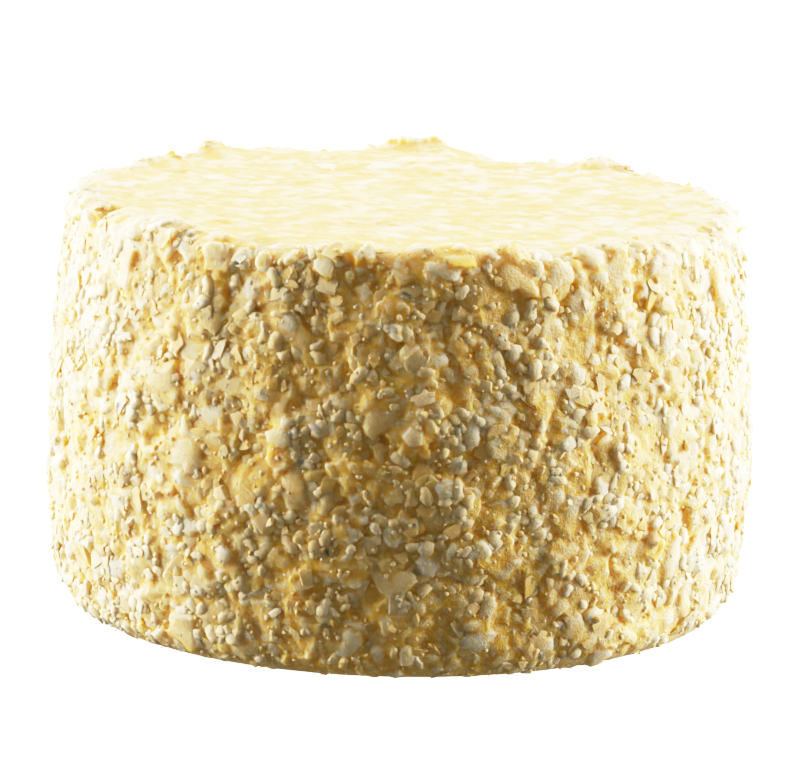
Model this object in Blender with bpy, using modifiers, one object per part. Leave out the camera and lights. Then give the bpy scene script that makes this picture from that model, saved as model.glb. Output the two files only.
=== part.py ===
"""A whole wheel of crumbly sour-milk grey cheese, pressed from loose curds. Metres, +Z up.

The origin is the middle of the flat underside, and -Y is the front.
"""

import random
from math import atan2, cos, pi, sin

import bmesh
import bpy
from mathutils import Euler, Matrix, Vector, noise

NOISE_SEED = 7  # without a seed of its own, the noise starts from the clock
noise.seed_set(NOISE_SEED)

# The pressed wheel.
WHEEL_HEIGHT = 0.0905
WIDEST_RADIUS = 0.0782  # half way up
TOP_RADIUS = 0.0742
BASE_RADIUS = 0.0762
TOP_ROUND = 0.0055  # radius of the rim's rounding
BASE_ROUND = 0.0085
TOP_SLANT = -0.0150  # rise of the top for each metre towards +X
TOP_SAG = 0.0012  # the press leaves the middle of the top a little lower
SIDE_STEPS = 24
ROUND_STEPS = 6
TURN_STEPS = 128

# The skin before and after the relief is pressed into it.
SKIN_VOXEL = 0.0017
SKIN_TRIANGLES = 7400

# Curds that have stuck together in clumps. Each is a tilted facet of its own
# height, with a crack round it.
CLUMP_SIZE = 0.0120
CLUMP_RISE = 0.0022  # from the lowest to the highest
CLUMP_TILT = 0.26
CLUMP_DOME = 0.0012
CLUMP_REACH = 0.6  # of the clump's size, from its middle to where the dome ends
CLUMP_SEED = 7.31  # another number gives every clump another height and tilt
CRACK_DEPTH = 0.0021
CRACK_WIDTH = 0.20  # of the clump's size
BEND_SIZE = 0.0130  # the clumps' borders wander by this much
BEND_REACH = 0.0030
WAVE_SIZE = 0.040
WAVE_RISE = 0.0011
TOP_RELIEF = 0.20  # the lid of the mould flattens the top to this share of the side's relief
TOP_WAVE_SIZE = 0.017
TOP_WAVE_RISE = 0.0007
TOP_FACING = (0.35, 0.85)  # the side's relief turns into the top's as the skin turns upwards
BASE_EDGE = (0.0006, 0.0046)  # heights between which the relief starts
FLAT_BASE = 0.0004  # every point below this height lies on the table

# Loose flakes and curds pressed onto the side and the rim.
FLAKE_SEED = 7
SIDE_FLAKES = 44
RIM_FLAKES = 26
SIDE_BAND = (0.10, 0.93)  # shares of the height
RIM_BAND = (0.955, 0.985)
FLAKE_LENGTH = (0.0070, 0.0125)
FLAKE_WIDTH = (0.54, 0.86)  # of the length
FLAKE_THICKNESS = 0.42
FLAKE_LEAN = 0.3  # radians, either way
FLAKE_POINTS = 11
FLAKE_GAP = 0.0095  # the least distance between two of them

# Pieces that stand up from the rim, or that have broken out of it:
# direction in degrees from +X, rise (below 0 for a break) and width along the rim.
RIM_CRAGS = (
    (88.0, 0.0026, 0.0120),
    (130.0, 0.0030, 0.0050),
    (146.0, 0.0016, 0.0110),
    (105.0, -0.0014, 0.0140),
    (70.0, -0.0013, 0.0120),
    (48.0, 0.0020, 0.0110),
    (22.0, -0.0012, 0.0090),
    (203.0, -0.0030, 0.0060),
    (226.0, 0.0014, 0.0100),
    (244.0, -0.0016, 0.0070),
    (262.0, 0.0012, 0.0120),
    (277.0, 0.0016, 0.0140),
    (288.0, 0.0022, 0.0050),
    (297.0, -0.0018, 0.0070),
    (312.0, 0.0015, 0.0110),
    (338.0, -0.0014, 0.0080),
)
CRAG_LEDGE = 0.003  # width of the rim's edge, where a crag has its full rise
CRAG_REACH = 0.010  # how far a crag runs in from the ledge
CRAG_CREST = 1.25  # above 1, the middle of a crag is flat


def clear_scene():
    for thing in list(bpy.data.objects):
        bpy.data.objects.remove(thing, do_unlink=True)


def smooth_step(value):
    """0 up to 0 and 1 from 1 on, with a smooth rise between them."""
    value = min(max(value, 0.0), 1.0)
    return value * value * (3 - 2 * value)


def share_between(value, limits):
    """The smooth step of a value from the lower to the upper limit."""
    low, high = limits
    return smooth_step((value - low) / (high - low))


def side_radius(share):
    """Radius at a share of the height: a barrel through the base, the waist and the top."""
    base = BASE_RADIUS * (1 - share) * (1 - 2 * share)
    waist = WIDEST_RADIUS * 4 * share * (1 - share)
    top = TOP_RADIUS * share * (2 * share - 1)
    return base + waist + top


def wheel_profile():
    """Half of the wheel's section in the XZ plane, from the middle of the top to the middle of the base."""
    points = [(0.0, WHEEL_HEIGHT)]
    for i in range(ROUND_STEPS):
        turn = pi / 2 * (1 - i / ROUND_STEPS)
        points.append(
            (
                TOP_RADIUS - TOP_ROUND * (1 - cos(turn)),
                WHEEL_HEIGHT - TOP_ROUND * (1 - sin(turn)),
            )
        )
    low, high = BASE_ROUND, WHEEL_HEIGHT - TOP_ROUND
    for i in range(SIDE_STEPS + 1):
        share = 1 - i / SIDE_STEPS
        points.append((side_radius(share), low + share * (high - low)))
    for i in range(1, ROUND_STEPS + 1):
        turn = pi / 2 * i / ROUND_STEPS
        points.append(
            (BASE_RADIUS - BASE_ROUND * (1 - cos(turn)), BASE_ROUND * (1 - sin(turn)))
        )
    points.append((0.0, 0.0))
    return points


def turned_wheel(collection):
    """The smooth wheel, turned about Z and covered with even faces."""
    profile = wheel_profile()
    mesh = bpy.data.meshes.new("wheel_profile")
    mesh.from_pydata(
        [(x, 0, z) for x, z in profile], [(i, i + 1) for i in range(len(profile) - 1)], []
    )
    wheel = bpy.data.objects.new("grey_cheese", mesh)
    collection.objects.link(wheel)

    screw = wheel.modifiers.new("turned", "SCREW")
    screw.axis = "Z"
    screw.steps = screw.render_steps = TURN_STEPS
    screw.use_merge_vertices = True
    screw.merge_threshold = 0.0001

    skin = wheel.modifiers.new("even_skin", "REMESH")
    skin.mode = "VOXEL"
    skin.voxel_size = SKIN_VOXEL
    return wheel


def apply_modifiers(thing):
    graph = bpy.context.evaluated_depsgraph_get()
    shaped = bpy.data.meshes.new_from_object(thing.evaluated_get(graph))
    thing.modifiers.clear()
    thing.data = shaped


def curd_relief(point):
    """Rise of the clumps at a point of the skin."""
    bent = (point + BEND_REACH * noise.noise_vector(point / BEND_SIZE)) / CLUMP_SIZE
    distances, seeds = noise.voronoi(bent)
    own = noise.cell_vector(seeds[0] * CLUMP_SEED)
    rise = CLUMP_RISE * (own.x - 0.5)
    rise += CLUMP_TILT * CLUMP_SIZE * (bent - seeds[0]).dot(own * 2 - Vector((1, 1, 1)))
    rise += CLUMP_DOME * (0.5 - (distances[0] / CLUMP_REACH) ** 2)
    rise -= CRACK_DEPTH * smooth_step(1 - (distances[1] - distances[0]) / CRACK_WIDTH)
    return rise


def crag_rise(point):
    """How far the rim stands up or is broken down near a point of it."""
    direction = atan2(point.y, point.x)
    edge = TOP_RADIUS - Vector((point.x, point.y)).length
    inward = smooth_step(1 - max(edge - CRAG_LEDGE, 0.0) / CRAG_REACH)
    rise = 0.0
    for degrees, height, width in RIM_CRAGS:
        away = abs((direction - degrees * pi / 180 + pi) % (2 * pi) - pi) * TOP_RADIUS
        rise += height * smooth_step(CRAG_CREST * (1 - away / width))
    return rise * inward


def press_relief(wheel):
    """Moves each point of the skin by the relief, leaving the underside flat."""
    smooth = [(vertex.co.copy(), vertex.normal.copy()) for vertex in wheel.data.vertices]
    for vertex, (point, normal) in zip(wheel.data.vertices, smooth):
        off_base = share_between(point.z, BASE_EDGE)
        facing_up = share_between(normal.z, TOP_FACING)
        height = point.z / WHEEL_HEIGHT
        wave = WAVE_RISE * noise.noise(point / WAVE_SIZE)
        top_wave = TOP_WAVE_RISE * noise.noise(point / TOP_WAVE_SIZE)
        relief = curd_relief(point)
        top = TOP_RELIEF * relief + top_wave
        move = normal * (wave + relief * (1 - facing_up) + top * facing_up)
        middle = max(0.0, 1 - (point.xy.length / TOP_RADIUS) ** 2)
        lift = height**2 * TOP_SLANT * point.x + facing_up * (crag_rise(point) - TOP_SAG * middle)
        vertex.co = point + (move + Vector((0, 0, lift))) * off_base


def thin_out(wheel):
    """Keeps the faces where the relief needs them, and sets the underside on z = 0."""
    wheel.data.calc_loop_triangles()
    thin = wheel.modifiers.new("fewer_faces", "DECIMATE")
    thin.ratio = SKIN_TRIANGLES / len(wheel.data.loop_triangles)
    thin.use_collapse_triangulate = True
    apply_modifiers(wheel)
    for vertex in wheel.data.vertices:
        if vertex.co.z < FLAT_BASE:
            vertex.co.z = 0.0


def flake_places(draw):
    """(middle, outward direction) of each flake: those of the rim first, then those of the side."""
    places = []
    for total, band in ((RIM_FLAKES, RIM_BAND), (RIM_FLAKES + SIDE_FLAKES, SIDE_BAND)):
        while len(places) < total:
            share = draw.uniform(*band)
            direction = draw.uniform(0, 2 * pi)
            out = Vector((cos(direction), sin(direction), 0))
            point = out * side_radius(share) + Vector((0, 0, share * WHEEL_HEIGHT))
            if all((point - other).length > FLAKE_GAP for other, _ in places):
                places.append((point, out))
    return places


def flake(draw, collection, name, point, out):
    """An angular flake: the hull of points on a flattened ball, lying along the skin."""
    length = draw.uniform(*FLAKE_LENGTH)
    halves = Vector((1, draw.uniform(*FLAKE_WIDTH), FLAKE_THICKNESS)) * length / 2
    shape = bmesh.new()
    for _ in range(FLAKE_POINTS):
        spot = Vector((draw.gauss(0, 1), draw.gauss(0, 1), draw.gauss(0, 1))).normalized()
        shape.verts.new(spot * halves)
    hull = bmesh.ops.convex_hull(shape, input=shape.verts)
    bmesh.ops.delete(shape, geom=hull["geom_interior"] + hull["geom_unused"], context="VERTS")
    bmesh.ops.recalc_face_normals(shape, faces=shape.faces)
    mesh = bpy.data.meshes.new(name)
    shape.to_mesh(mesh)
    shape.free()
    made = bpy.data.objects.new(name, mesh)
    lean = Euler((draw.gauss(0, FLAKE_LEAN), draw.gauss(0, FLAKE_LEAN), draw.uniform(0, 2 * pi)))
    lie = out.to_track_quat("Z", "Y").to_matrix() @ lean.to_matrix()
    made.matrix_world = Matrix.Translation(point) @ lie.to_4x4()
    collection.objects.link(made)


def fuse_flakes(wheel):
    """Joins the flakes to the wheel, and removes them."""
    draw = random.Random(FLAKE_SEED)
    collection = bpy.data.collections.new("flakes")
    collection.hide_render = True
    bpy.context.scene.collection.children.link(collection)
    for i, (point, out) in enumerate(flake_places(draw)):
        landing = wheel.closest_point_on_mesh(point)[1]
        flake(draw, collection, f"flake_{i:03d}", landing, out)
    join = wheel.modifiers.new("flakes", "BOOLEAN")
    join.operation = "UNION"
    join.operand_type = "COLLECTION"
    join.collection = collection
    join.solver = "MANIFOLD"
    apply_modifiers(wheel)
    for made in list(collection.objects):
        bpy.data.objects.remove(made, do_unlink=True)
    bpy.data.collections.remove(collection)


def keep_largest_body(wheel):
    """Drops any scrap that the union left loose, and any hollow that it sealed."""
    shape = bmesh.new()
    shape.from_mesh(wheel.data)
    bodies = []
    seen = set()
    for start in shape.faces:
        if start in seen:
            continue
        seen.add(start)
        body = [start]
        for face in body:
            for edge in face.edges:
                for other in edge.link_faces:
                    if other not in seen:
                        seen.add(other)
                        body.append(other)
        bodies.append(body)
    bodies.sort(key=len)
    for body in bodies[:-1]:
        bmesh.ops.delete(shape, geom=body, context="FACES")
    shape.to_mesh(wheel.data)
    shape.free()


def centre_over_base(wheel):
    """Puts the middle of the outline over the origin."""
    xs = [vertex.co.x for vertex in wheel.data.vertices]
    ys = [vertex.co.y for vertex in wheel.data.vertices]
    middle = Vector((min(xs) + max(xs), min(ys) + max(ys), 0)) / 2
    wheel.data.transform(Matrix.Translation(-middle))


def curd_material():
    material = bpy.data.materials.new("curd")
    material.use_nodes = True
    shader = material.node_tree.nodes["Principled BSDF"]
    shader.inputs["Base Color"].default_value = (0.83, 0.68, 0.36, 1)
    shader.inputs["Roughness"].default_value = 0.55
    shader.inputs["Metallic"].default_value = 0.0
    material.diffuse_color = (0.83, 0.68, 0.36, 1)
    return material


def main():
    clear_scene()
    collection = bpy.data.collections.new("grey_cheese")
    bpy.context.scene.collection.children.link(collection)
    wheel = turned_wheel(collection)
    apply_modifiers(wheel)
    press_relief(wheel)
    thin_out(wheel)
    fuse_flakes(wheel)
    keep_largest_body(wheel)
    centre_over_base(wheel)
    wheel.data.materials.clear()
    wheel.data.materials.append(curd_material())
    wheel.data.shade_smooth()


main()
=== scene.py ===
from itertools import product
from math import atan2, cos, pi, radians, sin

import bmesh
import bpy
import numpy as np
from mathutils import Euler, Matrix, Vector, noise
from mathutils.bvhtree import BVHTree
from mathutils.kdtree import KDTree


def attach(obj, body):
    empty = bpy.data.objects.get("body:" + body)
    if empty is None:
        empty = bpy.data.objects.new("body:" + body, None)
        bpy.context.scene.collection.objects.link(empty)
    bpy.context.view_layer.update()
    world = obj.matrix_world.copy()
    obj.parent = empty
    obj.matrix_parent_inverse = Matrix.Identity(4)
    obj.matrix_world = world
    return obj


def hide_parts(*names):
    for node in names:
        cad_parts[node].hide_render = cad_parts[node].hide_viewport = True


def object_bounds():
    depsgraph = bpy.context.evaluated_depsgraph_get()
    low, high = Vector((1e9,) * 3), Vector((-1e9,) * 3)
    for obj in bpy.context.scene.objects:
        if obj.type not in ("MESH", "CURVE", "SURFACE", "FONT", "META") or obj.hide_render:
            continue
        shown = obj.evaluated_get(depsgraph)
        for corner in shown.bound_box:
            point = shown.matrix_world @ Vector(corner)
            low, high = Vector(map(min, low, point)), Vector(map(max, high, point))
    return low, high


noise.seed_set(7)  # as in the solid, since the noise otherwise starts from the clock

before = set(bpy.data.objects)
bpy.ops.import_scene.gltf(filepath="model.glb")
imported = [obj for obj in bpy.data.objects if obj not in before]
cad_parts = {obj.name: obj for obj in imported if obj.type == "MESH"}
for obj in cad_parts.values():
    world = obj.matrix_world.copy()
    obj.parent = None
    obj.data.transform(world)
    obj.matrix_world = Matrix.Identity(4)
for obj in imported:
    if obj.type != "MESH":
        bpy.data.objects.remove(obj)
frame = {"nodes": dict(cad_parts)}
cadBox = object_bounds()
print("frame loaded:", ", ".join(frame["nodes"]))


# the wheel, in metres, with the same sizes as the solid's
wheelShape = {
    "height": 0.0905,
    "widestRadius": 0.0782,
    "topRadius": 0.0742,
    "baseRadius": 0.0762,
    "topRound": 0.0055,
    "baseRound": 0.0085,
    "topSlant": -0.0150,  # rise of the top for each metre towards +X
    "topSag": 0.0012,
}

clumpRelief = {
    "size": 0.0120,
    "rise": 0.0022,
    "tilt": 0.26,
    "dome": 0.0012,
    "crackDepth": 0.0021,
    "crackWidth": 0.20,  # of the size
    "bendSize": 0.0130,
    "bendReach": 0.0030,
    "waveSize": 0.040,
    "waveRise": 0.0011,
    "keep": 0.32,  # the finer curds fill the rest of the clumps' relief
    "topShare": 0.20,  # what the mould's lid leaves of it on the top
    "topWaveSize": 0.017,
    "topWaveRise": 0.0007,
    "bunchSize": 0.0065,  # bunches of curds within a clump
    "bunchRise": 0.0008,
    "reach": 0.6,  # of the size, from a clump's middle to where its dome ends
    "seed": 7.31,  # another number gives every clump another height and tilt
    "flatFoot": 0.0006,  # no relief below this height
    "footBlend": 0.004,
    "lidFrom": 0.35,  # how far up the skin faces where the top's relief begins
    "lidBlend": 0.5,
}

# direction in degrees from +X, rise (below 0 for a break) and width along the rim
rimCrags = [
    (88.0, 0.0026, 0.0120),
    (130.0, 0.0030, 0.0050),
    (146.0, 0.0016, 0.0110),
    (105.0, -0.0014, 0.0140),
    (70.0, -0.0013, 0.0120),
    (48.0, 0.0020, 0.0110),
    (22.0, -0.0012, 0.0090),
    (203.0, -0.0030, 0.0060),
    (226.0, 0.0014, 0.0100),
    (244.0, -0.0016, 0.0070),
    (262.0, 0.0012, 0.0120),
    (277.0, 0.0016, 0.0140),
    (288.0, 0.0022, 0.0050),
    (297.0, -0.0018, 0.0070),
    (312.0, 0.0015, 0.0110),
    (338.0, -0.0014, 0.0080),
]
cragForm = {
    "ledge": 0.003,  # the crags are at their full height this far in from the edge
    "reach": 0.010,
    "crest": 1.25,  # above 1, the middle of a crag is flat
}


def smoothStep(value):
    value = min(max(value, 0.0), 1.0)
    return value * value * (3 - 2 * value)


def sideRadius(share):
    # a curve through the radius of the base, the waist and the top
    base = wheelShape["baseRadius"] * (1 - share) * (1 - 2 * share)
    waist = wheelShape["widestRadius"] * 4 * share * (1 - share)
    top = wheelShape["topRadius"] * share * (2 * share - 1)
    return base + waist + top


def wheelProfile(sideSteps=40, roundSteps=10):
    # (radius, height) from the middle of the top to the middle of the base
    height, topRound, baseRound = (wheelShape[key] for key in ("height", "topRound", "baseRound"))
    points = [(0.0, height)]
    for i in range(roundSteps):
        turn = pi / 2 * (1 - i / roundSteps)
        radius = wheelShape["topRadius"] - topRound * (1 - cos(turn))
        points.append((radius, height - topRound * (1 - sin(turn))))
    low, high = baseRound, height - topRound
    for i in range(sideSteps + 1):
        share = 1 - i / sideSteps
        points.append((sideRadius(share), low + share * (high - low)))
    for i in range(1, roundSteps + 1):
        turn = pi / 2 * i / roundSteps
        radius = wheelShape["baseRadius"] - baseRound * (1 - cos(turn))
        points.append((radius, baseRound * (1 - sin(turn))))
    points.append((0.0, 0.0))
    return np.array(points)


def clumpRise(point):
    c = clumpRelief
    bent = (point + c["bendReach"] * noise.noise_vector(point / c["bendSize"])) / c["size"]
    distances, seeds = noise.voronoi(bent)
    own = noise.cell_vector(seeds[0] * c["seed"])
    rise = c["rise"] * (own.x - 0.5)
    rise += c["tilt"] * c["size"] * (bent - seeds[0]).dot(own * 2 - Vector((1, 1, 1)))
    rise += c["dome"] * (0.5 - (distances[0] / c["reach"]) ** 2)
    rise -= c["crackDepth"] * smoothStep(1 - (distances[1] - distances[0]) / c["crackWidth"])
    return rise * c["keep"]


def cragRise(point):
    direction = atan2(point.y, point.x)
    edge = wheelShape["topRadius"] - point.xy.length
    inward = smoothStep(1 - max(edge - cragForm["ledge"], 0.0) / cragForm["reach"])
    if inward == 0:
        return 0.0
    rise = 0.0
    for degrees, height, width in rimCrags:
        away = abs((direction - radians(degrees) + pi) % (2 * pi) - pi) * wheelShape["topRadius"]
        rise += height * smoothStep(cragForm["crest"] * (1 - away / width))
    return rise * inward


def pressed(point, normal, fine=0.0):
    # where a point of the smooth wheel ends up, and how far it stands out there
    c = clumpRelief
    fine += c["bunchRise"] * noise.noise(point / c["bunchSize"])
    offBase = smoothStep((point.z - c["flatFoot"]) / c["footBlend"])
    facingUp = smoothStep((normal.z - c["lidFrom"]) / c["lidBlend"])
    wave = c["waveRise"] * noise.noise(point / c["waveSize"])
    clump = clumpRise(point)
    side = clump + wave + fine
    top = c["topShare"] * (clump + fine) + wave
    top += c["topWaveRise"] * noise.noise(point / c["topWaveSize"])
    out = (side * (1 - facingUp) + top * facingUp) * offBase
    middle = max(0.0, 1 - (point.xy.length / wheelShape["topRadius"]) ** 2)
    lift = (point.z / wheelShape["height"]) ** 2 * wheelShape["topSlant"] * point.x
    lift += facingUp * (cragRise(point) - wheelShape["topSag"] * middle)
    return point + normal * out + Vector((0, 0, lift * offBase)), out


# linear colours of curd; the last is painted shade for the cracks, and the first also serves as the
# painted highlight on edges
curdColours = {
    "bright": (0.98, 0.92, 0.74),
    "white": (0.96, 0.87, 0.64),
    "ivory": (0.93, 0.79, 0.50),
    "straw": (0.89, 0.69, 0.31),
    "amber": (0.80, 0.55, 0.14),
    "paintedCrackShade": (0.94, 0.56, 0.014),  # painted shade: the golden glow and shade at the bottom of the cracks
}

# stops: the colours along the finish's tones, from white to amber
finishes = {
    "knitCurd": {
        "stops": ("white", "ivory", "straw", "amber"), "rough": (0.36, 0.60),
        "scatterDepth": 0.0026, "scatterRadius": (1.0, 0.86, 0.46), "bump": 0.55, "grain": 0.0007,
        "paintedShadeShare": 0.85, "edgeHighlightShare": 0.35, "cells": 0.0027,
    },
    "looseCurd": {
        "stops": ("white", "ivory", "straw", "amber"), "rough": (0.30, 0.55),
        "scatterDepth": 0.0005, "scatterRadius": (1.0, 0.94, 0.80), "bump": 0.35, "grain": 0.0006,
        "paintedShadeShare": 0.8, "edgeHighlightShare": 0.4, "cells": 0,
    },
    "crystal": {
        "stops": ("bright", "white", "ivory", "straw"), "rough": (0.10, 0.25),
        "scatterDepth": 0.0003, "scatterRadius": (1.0, 0.95, 0.85), "bump": 0.2, "grain": 0.0006,
        "paintedShadeShare": 0.4, "edgeHighlightShare": 0.5, "cells": 0,
    },
}

# what the three finishes share
curdTexture = {
    "octaves": 3,
    "stopsAt": (0.33, 0.66),  # tones of the two middle stops
    "mottleSize": 0.0022,
    "mottle": 0.36,  # of the tones, from the lightest to the darkest spot
    "cellBendSize": 0.0022,
    "cellBend": 0.0032,
    "cellTone": 0.30,
    "cellStep": 0.8,
    "crackReach": 0.0016,  # how far the occlusion reaches that paints golden shade between two curds
    "openFrom": 0.80,  # how open a spot is where the painted shade begins, and where it is full
    "tightFrom": 0.15,
    "moistSize": 0.0016,
    "moistRange": (0.3, 0.7),
    "grainRoughness": 0.6,
    "reliefDepth": 0.0006,
    "shine": 0.45,
}


def addNode(tree, kind, label, **settings):
    node = tree.nodes.new(kind)
    node.name = node.label = label
    for key, value in settings.items():
        setattr(node, key, value)
    return node


def mixed(tree, label, amount, first, second):
    # the first colour turning into the second
    mix = addNode(tree, "ShaderNodeMix", label, data_type="RGBA")
    mix.inputs["B"].default_value = (*second, 1)
    tree.links.new(amount, mix.inputs["Factor"])
    tree.links.new(first, mix.inputs["A"])
    return mix.outputs["Result"]


def scaled(tree, label, value, factor):
    times = addNode(tree, "ShaderNodeMath", label, operation="MULTIPLY")
    times.inputs[1].default_value = factor
    tree.links.new(value, times.inputs[0])
    return times.outputs[0]


def curdCells(tree, place, size):
    # small curds pressed flat: how far the tone of each is from the middle
    t = curdTexture
    bend = addNode(tree, "ShaderNodeTexNoise", "bend the cells")
    bend.inputs["Scale"].default_value = 1 / t["cellBendSize"]
    bend.inputs["Detail"].default_value = t["octaves"]
    tree.links.new(place, bend.inputs["Vector"])
    shift = addNode(tree, "ShaderNodeVectorMath", "bent place", operation="MULTIPLY_ADD")
    shift.inputs[1].default_value = [t["cellBend"]] * 3
    tree.links.new(bend.outputs["Color"], shift.inputs[0])
    tree.links.new(place, shift.inputs[2])
    cells = addNode(tree, "ShaderNodeTexVoronoi", "small curds")
    cells.inputs["Scale"].default_value = 1 / size
    tree.links.new(shift.outputs[0], cells.inputs["Vector"])
    parts = addNode(tree, "ShaderNodeSeparateColor", "one number a curd")
    tree.links.new(cells.outputs["Color"], parts.inputs["Color"])
    centred = addNode(tree, "ShaderNodeMath", "about the middle", operation="SUBTRACT")
    centred.inputs[1].default_value = 0.5
    tree.links.new(parts.outputs["Red"], centred.inputs[0])
    return centred.outputs[0]


def curdFinish(name):
    f, t = finishes[name], curdTexture
    material = bpy.data.materials.new(name)
    material.use_nodes = True
    tree = material.node_tree
    shader = tree.nodes["Principled BSDF"]
    place = addNode(tree, "ShaderNodeTexCoord", "place")

    tone = addNode(tree, "ShaderNodeAttribute", "tone of the curd", attribute_name="tone")
    paintedShade = addNode(tree, "ShaderNodeAttribute", "depth in the crack", attribute_name="paintedShade")
    rim = addNode(tree, "ShaderNodeAttribute", "edge highlight mask", attribute_name="rim")

    mottle = addNode(tree, "ShaderNodeTexNoise", "mottle")
    mottle.inputs["Scale"].default_value = 1 / t["mottleSize"]
    mottle.inputs["Detail"].default_value = t["octaves"]
    tree.links.new(place.outputs["Object"], mottle.inputs["Vector"])
    shifted = addNode(tree, "ShaderNodeMath", "mottled tone", operation="MULTIPLY_ADD")
    shifted.inputs[1].default_value = t["mottle"]
    tree.links.new(mottle.outputs["Fac"], shifted.inputs[0])
    offset = addNode(tree, "ShaderNodeMath", "centre the mottle", operation="SUBTRACT")
    offset.inputs[1].default_value = t["mottle"] / 2
    tree.links.new(tone.outputs["Fac"], offset.inputs[0])
    tree.links.new(offset.outputs[0], shifted.inputs[2])
    toned = shifted.outputs[0]
    if f["cells"]:
        cellTone = curdCells(tree, place.outputs["Object"], f["cells"])
        lighter = addNode(tree, "ShaderNodeMath", "tone of each small curd", operation="MULTIPLY_ADD")
        lighter.inputs[1].default_value = t["cellTone"]
        tree.links.new(cellTone, lighter.inputs[0])
        tree.links.new(toned, lighter.inputs[2])
        toned = lighter.outputs[0]

    ramp = addNode(tree, "ShaderNodeValToRGB", "curd tones")
    ramp.color_ramp.elements[1].position = 1.0
    for position in t["stopsAt"]:
        ramp.color_ramp.elements.new(position)
    for element, stop in zip(ramp.color_ramp.elements, f["stops"]):
        element.color = (*curdColours[stop], 1)
    tree.links.new(toned, ramp.inputs["Fac"])
    # painted highlight: the edges of the curds are mixed towards the bright colour
    edgeHighlightAmount = scaled(tree, "painted highlight strength", rim.outputs["Fac"], f["edgeHighlightShare"])
    colour = mixed(tree, "painted edge highlights", edgeHighlightAmount, ramp.outputs["Color"], curdColours["bright"])

    # painted shade: tight spots between curds and low places in the cracks turn golden, in place of the
    # shade and glow there
    occlusion = addNode(tree, "ShaderNodeAmbientOcclusion", "occlusion for painted shade", samples=2)
    occlusion.inputs["Distance"].default_value = t["crackReach"]
    tight = addNode(tree, "ShaderNodeMapRange", "how tight", interpolation_type="SMOOTHSTEP")
    tight.inputs["From Min"].default_value = t["openFrom"]
    tight.inputs["From Max"].default_value = t["tightFrom"]
    tree.links.new(occlusion.outputs["AO"], tight.inputs["Value"])
    low = addNode(tree, "ShaderNodeMapRange", "how low", interpolation_type="SMOOTHSTEP")
    tree.links.new(paintedShade.outputs["Fac"], low.inputs["Value"])
    either = addNode(tree, "ShaderNodeMath", "tight or low", operation="ADD", use_clamp=True)
    tree.links.new(tight.outputs["Result"], either.inputs[0])
    tree.links.new(low.outputs["Result"], either.inputs[1])
    paintedShadeAmount = scaled(tree, "painted shade amount", either.outputs[0], f["paintedShadeShare"])
    colour = mixed(tree, "painted crack shade", paintedShadeAmount, colour, curdColours["paintedCrackShade"])
    tree.links.new(colour, shader.inputs["Base Color"])

    wetness = addNode(tree, "ShaderNodeTexNoise", "moist patches")
    wetness.inputs["Scale"].default_value = 1 / t["moistSize"]
    tree.links.new(place.outputs["Object"], wetness.inputs["Vector"])
    rough = addNode(tree, "ShaderNodeMapRange", "roughness")
    rough.inputs["From Min"].default_value, rough.inputs["From Max"].default_value = t["moistRange"]
    rough.inputs["To Min"].default_value, rough.inputs["To Max"].default_value = f["rough"]
    tree.links.new(wetness.outputs["Fac"], rough.inputs["Value"])
    tree.links.new(rough.outputs["Result"], shader.inputs["Roughness"])

    grain = addNode(tree, "ShaderNodeTexNoise", "fine grain")
    grain.inputs["Scale"].default_value = 1 / f["grain"]
    grain.inputs["Detail"].default_value = t["octaves"]
    grain.inputs["Roughness"].default_value = t["grainRoughness"]
    tree.links.new(place.outputs["Object"], grain.inputs["Vector"])
    bump = addNode(tree, "ShaderNodeBump", "grain relief")
    bump.inputs["Strength"].default_value = f["bump"]
    bump.inputs["Distance"].default_value = t["reliefDepth"]
    height = grain.outputs["Fac"]
    if f["cells"]:
        stepped = addNode(tree, "ShaderNodeMath", "small curds stand in steps", operation="MULTIPLY_ADD")
        stepped.inputs[1].default_value = t["cellStep"]
        tree.links.new(cellTone, stepped.inputs[0])
        tree.links.new(height, stepped.inputs[2])
        height = stepped.outputs[0]
    tree.links.new(height, bump.inputs["Height"])
    tree.links.new(bump.outputs["Normal"], shader.inputs["Normal"])

    shader.inputs["Subsurface Weight"].default_value = 1.0
    shader.inputs["Subsurface Radius"].default_value = f["scatterRadius"]
    shader.inputs["Subsurface Scale"].default_value = f["scatterDepth"]
    shader.inputs["Specular IOR Level"].default_value = t["shine"]
    return material


materials = {name: curdFinish(name) for name in finishes}
print("finishes made:", ", ".join(materials))


def dress(piece, finish, values):
    # finish, and the attributes that the finish reads
    piece.data.materials.clear()
    piece.data.materials.append(materials[finish])
    for name, numbers in values.items():
        layer = piece.data.attributes.new(name, "FLOAT", "POINT")
        layer.data.foreach_set("value", np.asarray(numbers, np.float32))
    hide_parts("grey_cheese")
    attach(piece, "root")


# heights about the skin, between which the painted crack shade grows
crackShadeHeights = {"from": -0.0003, "run": 0.0010}

# the front's share paints shade: curds on the front are made more amber; the patches and the dry offset
# are the curds' own tone
moistureAndFrontShade = {
    "front": 0.36,
    "dry": 0.12,  # the lightest curds stay white
    "patches": 0.28,
    "patchSize": 0.013,
}


def paintedShadeOf(height):
    # how much painted shade: 0 on the tips of the curds, 1 at the bottom of the cracks
    return np.clip((crackShadeHeights["from"] - height) / crackShadeHeights["run"], 0, 1)


def moistnessAndFrontShade(point):
    # the front is made more amber as painted shade; some patches are moister, so more amber too
    m = moistureAndFrontShade
    front = max(0.0, -point.y / wheelShape["widestRadius"])
    return m["front"] * front**2 - m["dry"] + m["patches"] * noise.noise(point / m["patchSize"])


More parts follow.
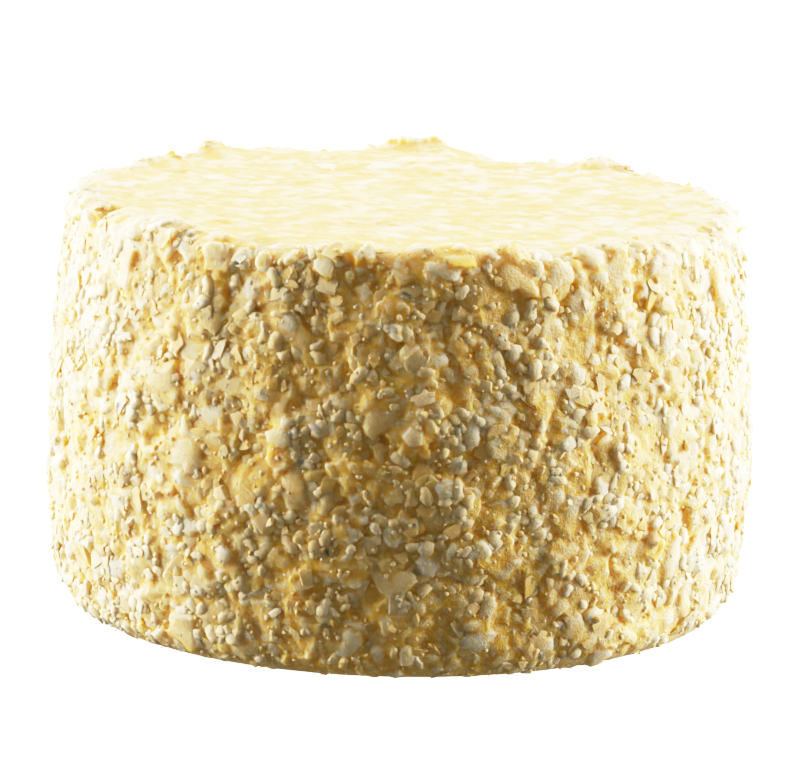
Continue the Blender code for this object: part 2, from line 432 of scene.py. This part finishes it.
pressedBody = {
    "skin": 0.0012,  # size of its faces
    "turnSteps": 180,
    "sunk": 0.0007,  # the loose curds stand on it
    "lumpSize": 0.0046,
    "lumpRise": 0.0006,
    "lumpLeast": 0.35,  # the lowest lumps, as a share of the rise
    "lumpReach": 0.62,  # of the size
    "lumpSeed": 5.13,
    "lumpBend": 0.0012,
    "lumpBendSize": 0.0040,
    "gritSize": 0.0012,
    "gritRise": 0.0003,
    "knitSkin": 0.0005,  # the curds are knit together at this size
    "knitFaces": 195000,
    "streakSize": 0.0038,
    "fineStreaks": (0.4, 0.5),  # size and strength beside the streaks
    "bareTone": 0.75,  # tone where no curd covers the body
    "lidTone": 0.90,
    "lidStreaks": 0.75,
    "curdStreaks": 0.3,
    "bareShade": 0.15,  # painted shade on the body where no curd covers it
    "bareFrontShade": 2,  # how much more painted shade it gets there on the front
    "bareFoot": 0.0012,  # no cracks below this height
    "crackDepth": 0.00032,
    # painted shade in the crack lines
    "crackShadeAmount": 0.22,
    "crackFrontShade": 0.50,  # how much more painted shade the cracks get on the front
    # painted highlight on the edges beside each crack
    "crackHighlight": 0.6,
    "lidCrack": 0.75,  # how much shallower the cracks are on the pressed top
}


def fineRise(point):
    b = pressedBody
    bent = point + b["lumpBend"] * noise.noise_vector(point / b["lumpBendSize"])
    distances, seeds = noise.voronoi(bent / b["lumpSize"])
    rise = b["lumpRise"] * (b["lumpLeast"] + noise.cell(seeds[0] * b["lumpSeed"]))
    rise *= max(0.0, 1 - (distances[0] / b["lumpReach"]) ** 2)
    rise += b["gritRise"] * noise.noise(point / b["gritSize"])
    return rise - b["sunk"]


def normalsOf(points, faces):
    corners = points[faces]
    across = np.cross(corners[:, 1] - corners[:, 0], corners[:, 2] - corners[:, 0])
    normals = np.zeros_like(points)
    for i in range(3):
        np.add.at(normals, faces[:, i], across)
    return normals / (np.linalg.norm(normals, axis=1)[:, None] + 1e-12)


def inOrder(mesh, corners):
    # a mesh's points and faces, sorted so that each run gives the same
    points = np.empty(3 * len(mesh.vertices), np.float32)
    mesh.vertices.foreach_get("co", points)
    points = points.reshape(-1, 3)
    faces = np.empty(len(mesh.loops), np.int32)
    mesh.loops.foreach_get("vertex_index", faces)
    faces = faces.reshape(-1, corners)
    order = np.lexsort(points.T)
    places = np.empty(len(points), int)
    places[order] = np.arange(len(points))
    faces = places[faces]
    turn = faces.argmin(axis=1)[:, None] + np.arange(corners)
    faces = np.take_along_axis(faces, turn % corners, axis=1)
    return points[order], faces[np.lexsort(faces.T)]


def newPiece(name, points, faces, edges=()):
    mesh = bpy.data.meshes.new(name)
    mesh.from_pydata(points, edges, faces)
    piece = bpy.data.objects.new(name, mesh)
    bpy.context.scene.collection.objects.link(piece)
    return piece


def asModified(piece):
    # the mesh that the piece's modifiers give, in place of the piece
    before = piece.data
    done = bpy.data.meshes.new_from_object(piece.evaluated_get(bpy.context.evaluated_depsgraph_get()))
    bpy.data.objects.remove(piece)
    bpy.data.meshes.remove(before)
    return done


def knitTogether(piece, size):
    remesh = piece.modifiers.new("one skin", "REMESH")
    remesh.mode = "VOXEL"
    remesh.voxel_size = size
    return inOrder(asModified(piece), 4)


def makeCore():
    # the smooth wheel with an even skin, pressed into shape
    outline = [(x, 0, z) for x, z in wheelProfile()]
    core = newPiece("core", outline, [], [(i, i + 1) for i in range(len(outline) - 1)])
    screw = core.modifiers.new("turned", "SCREW")
    screw.steps = screw.render_steps = pressedBody["turnSteps"]
    screw.use_merge_vertices = True
    screw.merge_threshold = 0.0001
    points, squares = knitTogether(core, pressedBody["skin"])
    faces = np.concatenate([squares[:, [0, 1, 2]], squares[:, [0, 2, 3]]])
    normals = normalsOf(points.astype(float), faces)
    landed = []
    for point, normal in zip(points, normals):
        point = Vector(point)
        landed.append(pressed(point, Vector(normal), fineRise(point))[0])
    return np.array(landed), faces


corePoints, coreFaces = makeCore()
print("core made")


def ball(detail):
    shape = bmesh.new()
    bmesh.ops.create_icosphere(shape, subdivisions=detail, radius=1)
    points = np.array([v.co[:] for v in shape.verts])
    faces = np.array([[v.index for v in f.verts] for f in shape.faces])
    shape.free()
    return points, faces


def thinned(points, faces, count):
    # the same shape with about this many triangles, where its form needs them
    piece = newPiece("thinned", points, faces)
    thin = piece.modifiers.new("fewer faces", "DECIMATE")
    thin.ratio = count / len(faces)
    thin.use_collapse_triangulate = True
    done = asModified(piece)
    points = np.array([v.co[:] for v in done.vertices])
    faces = np.array([f.vertices[:] for f in done.polygons])
    bpy.data.meshes.remove(done)
    return points, faces


# every shape is a ball of radius 1 before it is pushed out of round, with relief
# from its own place in the noise
noisePlaces = (-9, 9)

lobedForm = {
    "fineFrom": 150,  # shapes with more faces than this start from a finer ball
    "flatter": (1, 1, 0.5),  # the lobes lie mostly side by side
    "spread": (0.5, 1.1),
    "lobeSize": (0.34, 0.66),
    "heart": 0.25,  # the least reach where no lobe is
    "knobs": (0.20, 2.7),  # rise and how many across
    "pimples": (0.12, 6),
    "pressing": 0.7,  # how flat the top is pressed
}
chippedForm = {
    "fineFrom": 100,
    "lumps": (0.55, 1.6),
    "knobs": (0.25, 4),
    "cutDepth": (0.45, 0.9),
    "lean": 0.12,  # of the two flats on top
    "topStep": 1.2,
    "crispness": 0.93,
}
crumbForm = {
    "pebble": (0.62, 1.12),
    "grain": (0.6, 1.1),
    "grainShift": (-0.2, 0.2),
}


def lobedShape(draw, lobes, spread, flat, count):
    # a few balls grown together, as curds do, with a knobbly skin and a flattened top
    form = lobedForm
    directions, faces = ball(4 if count > form["fineFrom"] else 3)
    middles = draw.normal(size=(lobes, 3)) * form["flatter"]
    middles *= (spread * draw.uniform(*form["spread"], lobes) / np.linalg.norm(middles, axis=1))[:, None]
    sizes = draw.uniform(*form["lobeSize"], lobes)
    along = directions @ middles.T
    inside = sizes**2 - ((middles**2).sum(axis=1) - along**2)
    reach = np.where(inside > 0, along + np.sqrt(np.maximum(inside, 0)), form["heart"]).max(axis=1)
    shift = Vector(draw.uniform(*noisePlaces, 3))
    knobRise, knobs = form["knobs"]
    pimpleRise, pimples = form["pimples"]
    rises = []
    for direction in directions:
        direction = Vector(direction)
        rise = knobRise * noise.noise(direction * knobs + shift)
        rises.append(rise + pimpleRise * noise.noise(direction * pimples + shift))
    points = directions * (reach + rises)[:, None]
    over = np.maximum(points[:, 2] - flat, 0)
    points[:, 2] -= form["pressing"] * over
    return thinned(points, faces, count)


def chippedShape(draw, cuts, flat, count):
    # a lump with flat broken sides, its top pressed flat by the mould
    form = chippedForm
    points, faces = ball(4 if count > form["fineFrom"] else 3)
    shift = Vector(draw.uniform(*noisePlaces, 3))
    lumpRise, lumps = form["lumps"]
    knobRise, knobs = form["knobs"]
    reach = []
    for point in points:
        point = Vector(point)
        rise = 1 + lumpRise * noise.noise(point * lumps + shift)
        reach.append([rise + knobRise * noise.noise(point * knobs + shift)])
    points = points * reach
    breaks = draw.normal(size=(cuts, 3))
    tops = draw.normal(0, form["lean"], (2, 3)) + (0, 0, 1)
    sides = np.concatenate([breaks, tops])
    sides /= np.linalg.norm(sides, axis=1)[:, None]
    breakLimits = draw.uniform(*form["cutDepth"], cuts)
    topLimits = draw.uniform(flat, form["topStep"] * flat, 2)
    for facing, limit in zip(sides, np.concatenate([breakLimits, topLimits])):
        over = np.maximum(points @ facing - limit, 0)
        points = points - form["crispness"] * over[:, None] * facing
    return thinned(points, faces, count)


def pebbleShape(draw):
    # a twenty-sided crumb, pushed out of shape
    points, faces = ball(1)
    return points * draw.uniform(*crumbForm["pebble"], (len(points), 1)), faces


def grainShape(draw):
    # a tiny eight-sided grain
    points = np.array([[1, 0, 0], [-1, 0, 0], [0, 1, 0], [0, -1, 0], [0, 0, 1], [0, 0, -1]], float)
    upper = [[0, 2, 4], [2, 1, 4], [1, 3, 4], [3, 0, 4]]
    lower = [[2, 0, 5], [1, 2, 5], [3, 1, 5], [0, 3, 5]]
    points = points * draw.uniform(*crumbForm["grain"], (6, 1))
    return points + draw.uniform(*crumbForm["grainShift"], (6, 3)), np.array(upper + lower)


highlightBend = {"from": 0.22, "run": 0.30}  # how sharply the skin turns where an edge gets the painted highlight
usualForm = (1, 0.8, 0.55)  # most curds are this wide and thick for their length


def edgeHighlightOf(points, faces):
    # the painted highlight mask: 1 along the edges of a shape, 0 on its flats
    corners = points[faces]
    pulls = np.zeros_like(points)
    lengths = np.zeros(len(points))
    for i in range(3):
        edge = corners[:, (i + 1) % 3] - corners[:, i]
        np.add.at(pulls, faces[:, i], edge)
        np.add.at(lengths, faces[:, i], np.linalg.norm(edge, axis=1))
    bend = -(pulls * normalsOf(points, faces)).sum(axis=1) / lengths
    return np.clip((bend - highlightBend["from"]) / highlightBend["run"], 0, 1)


def turns(draw, outs, lean):
    # one rotation matrix for each curd: its z along the skin's normal, leaning a little
    helper = np.where(np.abs(outs[:, 2:]) < 0.9, [[0.0, 0.0, 1.0]], [[1.0, 0.0, 0.0]])
    z = outs + lean * draw.normal(size=outs.shape)
    z /= np.linalg.norm(z, axis=1)[:, None]
    x = np.cross(helper, z)
    x /= np.linalg.norm(x, axis=1)[:, None]
    y = np.cross(z, x)
    angle = draw.uniform(0, 2 * pi, len(outs))[:, None]
    c, s = np.cos(angle), np.sin(angle)
    return np.stack([x * c + y * s, y * c - x * s, z], axis=2)


profile = wheelProfile()
profileRun = np.concatenate([[0], np.cumsum(np.linalg.norm(np.diff(profile, axis=0), axis=1))])
rimStart = profileRun[1]  # where the flat top ends
baseStart = profileRun[-2]
boxGap = 0.0001  # the loose curds keep this far inside the solid's box

spread = {
    "tries": 14,  # for each spot, before the skin counts as full
    "slopeStep": 0.0004,
}


def skinSpots(draw, count, band, gap):
    # smooth points spread over a band of the profile, at least a gap apart
    low, high = band
    spots, taken = [], {}
    for _ in range(count * spread["tries"]):
        if len(spots) == count:
            break
        run = draw.uniform(low, high)
        radius = np.interp(run, profileRun, profile[:, 0])
        if draw.uniform(0, wheelShape["widestRadius"]) > radius:
            continue
        height = np.interp(run, profileRun, profile[:, 1])
        direction = draw.uniform(0, 2 * pi)
        spot = np.array((radius * cos(direction), radius * sin(direction), height))
        cell = tuple((spot // gap).astype(int))
        groups = [
            taken.get((cell[0] + i, cell[1] + j, cell[2] + k), ())
            for i, j, k in product((-1, 0, 1), repeat=3)
        ]
        if any(np.abs(spot - other).max() < gap for group in groups for other in group):
            continue
        taken.setdefault(cell, []).append(spot)
        step = spread["slopeStep"]
        before = np.array([np.interp(run - step, profileRun, profile[:, i]) for i in (0, 1)])
        after = np.array([np.interp(run + step, profileRun, profile[:, i]) for i in (0, 1)])
        along = (after - before) / np.linalg.norm(after - before)
        out = np.array((-along[1] * cos(direction), -along[1] * sin(direction), along[0]))
        spots.append((spot, out))
    return spots


covered = []  # middle and reach of each curd that keeps smaller ones off its top


def freeSpots(spots):
    tree = KDTree(len(covered))
    for i, (middle, _) in enumerate(covered):
        tree.insert(middle, i)
    tree.balance()
    free = []
    for spot, out in spots:
        if all(away > covered[i][1] for _, i, away in tree.find_n(spot, 4)):
            free.append((spot, out))
    return free


def curdCloud(k):
    # every curd of one kind: its points and faces, and for each curd its tone and where it stands
    draw = np.random.default_rng(k["seed"])
    shapes = [k["shape"](draw) for _ in range(k["shapes"])]
    spots = k["spots"] if "spots" in k else skinSpots(draw, k["count"], k["band"], k["gap"])
    smooth = np.array([spot for spot, _ in spots])
    outs = np.array([out for _, out in spots])
    landed = np.array([pressed(Vector(spot), Vector(out))[0] for spot, out in spots])
    smallest, largest = k["size"]
    sizes = draw.uniform(0, 1, len(spots)) ** k["sizeSkew"] * (largest - smallest) + smallest
    widths = draw.uniform(*k["width"], len(spots))
    thicknesses = draw.uniform(*k["thickness"], len(spots))
    scales = sizes[:, None] / 2 * np.stack([np.ones(len(spots)), widths, thicknesses], axis=1)
    which = draw.integers(0, len(shapes), len(spots))
    tops = np.array([points[:, 2].max() for points, _ in shapes])[which] * scales[:, 2]
    middles = landed + outs * (draw.uniform(*k["top"], len(spots)) - tops)[:, None]
    # the tones also carry the painted shade of the front
    tones = np.array([moistnessAndFrontShade(Vector(spot)) for spot in smooth])
    tones = np.clip(draw.normal(k["tone"], k["toneSpread"], len(spots)) + tones, 0, 1)
    frames = turns(draw, outs, k["lean"])
    if k.get("covers"):
        covered.extend((spot, k["covers"] * size) for spot, size in zip(smooth, sizes))

    points, faces, curds, edgeHighlights, start = [], [], [], [], 0
    for i, (shapePoints, shapeFaces) in enumerate(shapes):
        chosen = np.flatnonzero(which == i)
        stretched = shapePoints[None] * scales[chosen][:, None]
        placed = np.einsum("nij,nvj->nvi", frames[chosen], stretched) + middles[chosen][:, None]
        points.append(placed.reshape(-1, 3))
        curds.append(np.repeat(chosen, len(shapePoints)))
        # the mask for the painted edge highlight
        edgeHighlights.append(np.tile(edgeHighlightOf(shapePoints * usualForm, shapeFaces), len(chosen)))
        offsets = start + len(shapePoints) * np.arange(len(chosen))
        faces.append((shapeFaces[None] + offsets[:, None, None]).reshape(-1, 3))
        start += len(shapePoints) * len(chosen)
    low, high = np.array(cadBox[0]), np.array(cadBox[1])
    points = np.clip(np.concatenate(points), low + boxGap, high - boxGap)
    return {
        "points": points, "faces": np.concatenate(faces), "curds": np.concatenate(curds),
        "edgeHighlights": np.concatenate(edgeHighlights), "tones": tones, "landed": landed, "outs": outs,
    }


def makePiece(name, points, faces, finish, values, sharp=0):
    piece = newPiece(name, points, faces)
    piece.data.shade_smooth()
    if sharp:
        piece.data.set_sharp_from_angle(angle=radians(sharp))
    dress(piece, finish, values)
    print(name, "has", len(faces), "faces")


def someOf(cloud, k, seed):
    # some of the curds, standing a little further out
    kept = np.random.default_rng(seed).uniform(size=len(cloud["tones"])) < k["crispShare"]
    chosen = kept[cloud["curds"]]
    renumbered = np.cumsum(chosen) - 1
    curds = cloud["curds"][chosen]
    faces = cloud["faces"][chosen[cloud["faces"][:, 0]]]
    return {
        **cloud, "points": cloud["points"][chosen] + k["lift"] * cloud["outs"][curds], "curds": curds,
        "faces": renumbered[faces], "edgeHighlights": cloud["edgeHighlights"][chosen],
    }


def looseCurds(name, k, cloud=None):
    cloud = cloud or curdCloud(k)
    curds = cloud["curds"]
    heights = ((cloud["points"] - cloud["landed"][curds]) * cloud["outs"][curds]).sum(axis=1)
    # the painted shade grows on the low parts of each curd, the painted highlight on its edges
    values = {"tone": cloud["tones"][curds], "paintedShade": paintedShadeOf(heights), "rim": cloud["edgeHighlights"]}
    makePiece(name, cloud["points"], cloud["faces"], k["finish"], values, k["sharp"])


def mainSkin(points, faces):
    # without the few loose specks that thinning leaves
    island = np.arange(len(points))
    while True:
        lowest = island.copy()
        for a, b in ((0, 1), (1, 2), (2, 0)):
            np.minimum.at(lowest, faces[:, a], island[faces[:, b]])
            np.minimum.at(lowest, faces[:, b], island[faces[:, a]])
        lowest = lowest[lowest]
        if (lowest == island).all():
            break
        island = lowest
    kept = island == np.bincount(island).argmax()
    renumbered = np.cumsum(kept) - 1
    return points[kept], renumbered[faces[kept[faces[:, 0]]]]


def heapOf(clouds):
    # the core and the curds in one heap, and which curd each point belongs to (-1 for the core)
    points, faces, curds = [corePoints], [coreFaces], [np.full(len(corePoints), -1)]
    start, first = len(corePoints), 0
    for cloud in clouds:
        points.append(cloud["points"])
        faces.append(cloud["faces"] + start)
        curds.append(cloud["curds"] + first)
        start += len(cloud["points"])
        first += len(cloud["tones"])
    return np.concatenate(points), np.concatenate(faces), np.concatenate(curds)


def streak(point):
    # the fine grain that the cloth leaves on the lid
    size, strength = pressedBody["fineStreaks"]
    long = noise.noise(point / pressedBody["streakSize"])
    return long + strength * noise.noise(point / (size * pressedBody["streakSize"]))


def knitCurds(clouds):
    # the core and the curds grown into one skin, each place keeping the tone of its curd
    b = pressedBody
    heapPoints, heapFaces, curds = heapOf(clouds)
    tones = np.concatenate([cloud["tones"] for cloud in clouds])
    landed = np.concatenate([cloud["landed"] for cloud in clouds])
    outs = np.concatenate([cloud["outs"] for cloud in clouds])
    skinPoints, squares = knitTogether(newPiece("heap", heapPoints, heapFaces), b["knitSkin"])
    print("knit skin has", len(squares), "squares")
    points, faces = mainSkin(*thinned(skinPoints, squares, b["knitFaces"] / 2))
    print("thinned to", len(faces), "faces")

    search = BVHTree.FromPolygons(heapPoints.tolist(), heapFaces.tolist())
    nearest = np.array([search.find_nearest(Vector(point))[2] for point in points])
    owner = curds[heapFaces[nearest, 0]]
    upward = smoothLid(points)
    streaks = np.array([streak(Vector(point)) for point in points])
    bareTone = b["bareTone"] * (1 - upward) + upward * (b["lidTone"] + b["lidStreaks"] * streaks)
    tone = np.where(owner < 0, bareTone, tones[owner] + upward * b["curdStreaks"] * streaks)
    height = ((points - landed[owner]) * outs[owner]).sum(axis=1)
    # painted shade: the bare body and the cracks are made more golden, and more so on the front
    front = np.clip(-points[:, 1] / wheelShape["widestRadius"], 0, 1) ** 2
    bare = b["bareShade"] * (1 - upward) * (1 + b["bareFrontShade"] * front)
    paintedShade = np.where(owner < 0, bare, paintedShadeOf(height))

    # a crack follows each border between two curds, with painted shade in it and a painted highlight on
    # the edges beside it
    first, second = np.concatenate([faces[:, [0, 1]], faces[:, [1, 2]], faces[:, [2, 0]]]).T
    aboveFoot = points[:, 2] > b["bareFoot"]
    crack = np.zeros(len(points))
    crack[second[owner[second] > owner[first]]] = 1
    crack *= (1 - b["lidCrack"] * upward) * aboveFoot
    beside = np.zeros(len(points))
    np.maximum.at(beside, first, crack[second])
    np.maximum.at(beside, second, crack[first])
    beside = np.clip(beside - crack, 0, 1)
    # the painted edge highlight, also on both lips of each crack
    rim = np.clip(edgeHighlightOf(points, faces) + b["crackHighlight"] * beside, 0, 1)
    points -= b["crackDepth"] * crack[:, None] * normalsOf(points, faces)
    points = np.clip(points, cadBox[0], cadBox[1])
    crackShadeAmount = b["crackShadeAmount"] + b["crackFrontShade"] * front
    paintedShade = np.maximum(paintedShade, crackShadeAmount * crack) * (points[:, 2] > b["bareFoot"])
    return points, faces, {"tone": tone, "paintedShade": paintedShade, "rim": rim * (1 - crack)}


lidPlace = {
    "from": 0.080,  # height where the lid's smooth skin begins
    "blend": 0.004,
    "rim": 0.0035,  # how far in from the top's edge
    "rimBlend": 0.003,
}


def smoothLid(points):
    # 1 on the pressed top, 0 on the side
    away = np.hypot(points[:, 0], points[:, 1])
    high = np.clip((points[:, 2] - lidPlace["from"]) / lidPlace["blend"], 0, 1)
    return high * np.clip((wheelShape["topRadius"] - lidPlace["rim"] - away) / lidPlace["rimBlend"], 0, 1)


side = (rimStart - 0.001, baseStart - 0.0030)  # from just inside the rim to just above the foot

flakes = {
    "seed": 13, "shapes": 20, "shape": lambda draw: chippedShape(draw, 7, 0.36, 190),
    "count": 270, "band": side, "gap": 0.0062, "size": (0.0052, 0.0110), "sizeSkew": 1.5,
    "width": (0.6, 0.95), "thickness": (0.42, 0.60), "top": (-0.0003, 0.0002), "lean": 0.05,
    "covers": 0.30, "tone": 0.55, "toneSpread": 0.20,
}
flakesCloud = curdCloud(flakes)

clots = {
    "seed": 11, "shapes": 20, "shape": lambda draw: lobedShape(draw, 11, 0.60, 0.40, 260),
    "count": 270, "band": side, "gap": 0.0052, "size": (0.0042, 0.0082), "sizeSkew": 1.5,
    "width": (0.5, 0.9), "thickness": (0.55, 0.8), "top": (-0.0001, 0.0006), "lean": 0.10,
    "covers": 0.25, "tone": 0.06, "toneSpread": 0.08,
}
clotsCloud = curdCloud(clots)

rimCurds = {
    "seed": 27, "shapes": 16, "shape": lambda draw: lobedShape(draw, 9, 0.60, 0.45, 220),
    "count": 64, "band": (rimStart + 0.0010, rimStart + 0.0075), "gap": 0.0046,
    "size": (0.0044, 0.0085), "sizeSkew": 1.2,
    "width": (0.55, 0.9), "thickness": (0.6, 0.85), "top": (0.0002, 0.0010), "lean": 0.12,
    "covers": 0.25, "tone": 0.10, "toneSpread": 0.10,
}
rimCloud = curdCloud(rimCurds)

# the middling curds share the skin between them, in bunches of one kind
middling = {
    "seed": 18, "count": 9000, "gap": 0.0015, "bunch": 0.0085, "stray": 0.22,
    "nodulesFrom": 0.17, "chipsFrom": -0.08,
    "crispShare": 0.66, "lift": 0.00008,  # how many also lie crisp on the skin, and how far out
}
bunches = {"nodules": [], "chips": [], "nuggets": []}
bunchDraw = np.random.default_rng(middling["seed"])
for spot, out in freeSpots(skinSpots(bunchDraw, middling["count"], side, middling["gap"])):
    leaning = noise.noise(Vector(spot) / middling["bunch"]) + bunchDraw.normal(0, middling["stray"])
    if leaning > middling["nodulesFrom"]:
        kind = "nodules"
    elif leaning > middling["chipsFrom"]:
        kind = "chips"
    else:
        kind = "nuggets"
    bunches[kind].append((spot, out))

nodules = {
    "seed": 12, "shapes": 28, "shape": lambda draw: lobedShape(draw, 6, 0.55, 0.30, 76),
    "spots": bunches["nodules"], "size": (0.0026, 0.0052), "sizeSkew": 1.3,
    "width": (0.65, 1.0), "thickness": (0.7, 0.95), "top": (-0.0004, 0.0002), "lean": 0.12,
    "tone": 0.18, "toneSpread": 0.12, "sharp": 0, "finish": "looseCurd", "crispSeed": 31,
}
nodulesCloud = curdCloud(nodules)
looseCurds("curdNodules", nodules, someOf(nodulesCloud, middling, nodules["crispSeed"]))

chips = {
    "seed": 14, "shapes": 28, "shape": lambda draw: chippedShape(draw, 7, 0.38, 72),
    "spots": bunches["chips"], "size": (0.0028, 0.0060), "sizeSkew": 1.3,
    "width": (0.65, 1.0), "thickness": (0.6, 0.9), "top": (-0.0005, 0.0001), "lean": 0.10,
    "tone": 0.48, "toneSpread": 0.18, "sharp": 40, "finish": "looseCurd", "crispSeed": 32,
}
chipsCloud = curdCloud(chips)
looseCurds("curdChips", chips, someOf(chipsCloud, middling, chips["crispSeed"]))

nuggets = {
    "seed": 19, "shapes": 28, "shape": lambda draw: lobedShape(draw, 5, 0.62, 0.24, 76),
    "spots": bunches["nuggets"], "size": (0.0030, 0.0062), "sizeSkew": 1.3,
    "width": (0.65, 1.0), "thickness": (0.6, 0.9), "top": (-0.0004, 0.0002), "lean": 0.08,
    "tone": 0.58, "toneSpread": 0.18,
}
nuggetsCloud = curdCloud(nuggets)

lidFlakes = {
    "seed": 16, "shapes": 16, "shape": lambda draw: lobedShape(draw, 7, 0.6, 0.2, 90),
    "count": 760, "band": (0.0, rimStart + 0.002), "gap": 0.0030,
    "size": (0.0030, 0.0095), "sizeSkew": 1.7,
    "width": (0.5, 0.95), "thickness": (0.20, 0.30), "top": (-0.0003, 0.0004), "lean": 0.03,
    "tone": 0.70, "toneSpread": 0.34,
}
lidCloud = curdCloud(lidFlakes)
print("curds placed")

knitPoints, knitFaces, knitValues = knitCurds(
    [flakesCloud, clotsCloud, rimCloud, nuggetsCloud, nodulesCloud, chipsCloud, lidCloud]
)
makePiece("knitCurds", knitPoints, knitFaces, "knitCurd", knitValues)

looseChips = {
    "seed": 23, "shapes": 24, "shape": lambda draw: chippedShape(draw, 7, 0.50, 60),
    "count": 420, "band": side, "gap": 0.0030, "size": (0.0018, 0.0036), "sizeSkew": 1.4,
    "width": (0.55, 1.0), "thickness": (0.6, 1.0), "top": (-0.0001, 0.0005), "lean": 0.3,
    "tone": 0.36, "toneSpread": 0.22, "sharp": 38, "finish": "looseCurd",
}
looseCurds("looseChips", looseChips)

crumbs = {
    "seed": 15, "shapes": 16, "shape": pebbleShape,
    "count": 6800, "band": side, "gap": 0.0008, "size": (0.0010, 0.0022), "sizeSkew": 1.3,
    "width": (0.7, 1.0), "thickness": (0.6, 1.0), "top": (-0.0006, 0.0002), "lean": 0.6,
    "tone": 0.40, "toneSpread": 0.25, "sharp": 0, "finish": "looseCurd",
}
looseCurds("curdCrumbs", crumbs)

grit = {
    "seed": 17, "shapes": 12, "shape": grainShape,
    "count": 1500, "band": side, "gap": 0.0007, "size": (0.0005, 0.0011), "sizeSkew": 1.0,
    "width": (0.6, 1.0), "thickness": (0.5, 1.0), "top": (-0.0001, 0.0006), "lean": 0.8,
    "tone": 0.2, "toneSpread": 0.2, "sharp": 20, "finish": "crystal",
}
looseCurds("curdGrit", grit)


studio = {
    "cameraDistance": 0.96,
    "cameraHeight": 0.2526,
    "pitch": 0.2114,  # radians below level
    "roll": 0.0202,
    "lens": 198.6,
    "filmWidth": 36,
    "floorSize": 8.0,
    "floorColour": (0.96, 0.96, 0.96),
    "floorRoughness": 0.8,
    "floorGlow": 3.4,  # a table lit from below, so it stays white
    "lampColour": (1.0, 0.91, 0.84),
    "fill": 0.185,
    "fillColour": (1.0, 0.84, 0.58),
    # how soft the brightest light comes out, as on film
    "shoulder": ((0.30, 0.30), (0.60, 0.57), (1.0, 0.76), (1.6, 0.89), (2.4, 0.96), (4.0, 1.0)),
}

# place, what it faces, size and watts of each softbox
softboxes = {
    "leftSoftbox": ((-0.80, 0.26, 0.16), (0, 0.05, 0.05), (1.10, 1.20), 56.0),
    "rightSoftbox": ((0.80, 0.26, 0.16), (0, 0.05, 0.05), (1.10, 1.20), 56.0),
    "ceilingSoftbox": ((0.0, 1.4, 2.2), (0, 1.0, 0.0), (4.0, 2.4), 60.0),
    "backSoftbox": ((0.0, 3.4, 1.6), (0, 3.6, 0.0), (4.0, 2.0), 160.0),
}


def makeStudio():
    s = studio
    bpy.ops.mesh.primitive_plane_add(size=s["floorSize"], location=(0, 0, 0))
    floor = bpy.context.object
    floor.name = "paleFloor"
    material = bpy.data.materials.new("paleFloor")
    material.use_nodes = True
    shader = material.node_tree.nodes["Principled BSDF"]
    shader.inputs["Base Color"].default_value = (*s["floorColour"], 1)
    shader.inputs["Roughness"].default_value = s["floorRoughness"]
    shader.inputs["Emission Color"].default_value = (*s["floorColour"], 1)
    shader.inputs["Emission Strength"].default_value = s["floorGlow"]
    floor.data.materials.append(material)
    floor.visible_diffuse = False  # a dark studio floor would light the front as little
    floor.visible_glossy = False

    for name, (place, target, size, watts) in softboxes.items():
        light = bpy.data.lights.new(name, "AREA")
        light.shape = "RECTANGLE"
        light.size, light.size_y = size
        light.energy = watts
        light.color = s["lampColour"]
        lamp = bpy.data.objects.new(name, light)
        lamp.location = place
        lamp.rotation_euler = (Vector(target) - Vector(place)).to_track_quat("-Z", "Y").to_euler()
        bpy.context.scene.collection.objects.link(lamp)

    world = bpy.data.worlds.new("studio")
    bpy.context.scene.world = world
    world.use_nodes = True
    world.node_tree.nodes["Background"].inputs["Color"].default_value = (*s["fillColour"], 1)
    world.node_tree.nodes["Background"].inputs["Strength"].default_value = s["fill"]

    lens = bpy.data.cameras.new("camera")
    lens.sensor_fit = "HORIZONTAL"
    lens.sensor_width = s["filmWidth"]
    lens.lens = s["lens"]
    camera = bpy.data.objects.new("camera", lens)
    aim = Euler((pi / 2 - s["pitch"], 0, 0)).to_matrix().to_4x4()
    aim = aim @ Matrix.Rotation(s["roll"], 4, "Z")
    camera.matrix_world = Matrix.Translation((0, -s["cameraDistance"], s["cameraHeight"])) @ aim
    bpy.context.scene.collection.objects.link(camera)
    bpy.context.scene.camera = camera
    view = bpy.context.scene.view_settings
    view.view_transform = "Standard"
    view.use_curve_mapping = True
    curve = view.curve_mapping
    curve.clip_max_x = s["shoulder"][-1][0]
    curve.curves[3].points[1].location = s["shoulder"][-1]
    for bright, shown in s["shoulder"][:-1]:
        curve.curves[3].points.new(bright, shown)
    curve.update()


makeStudio()
print("studio made")
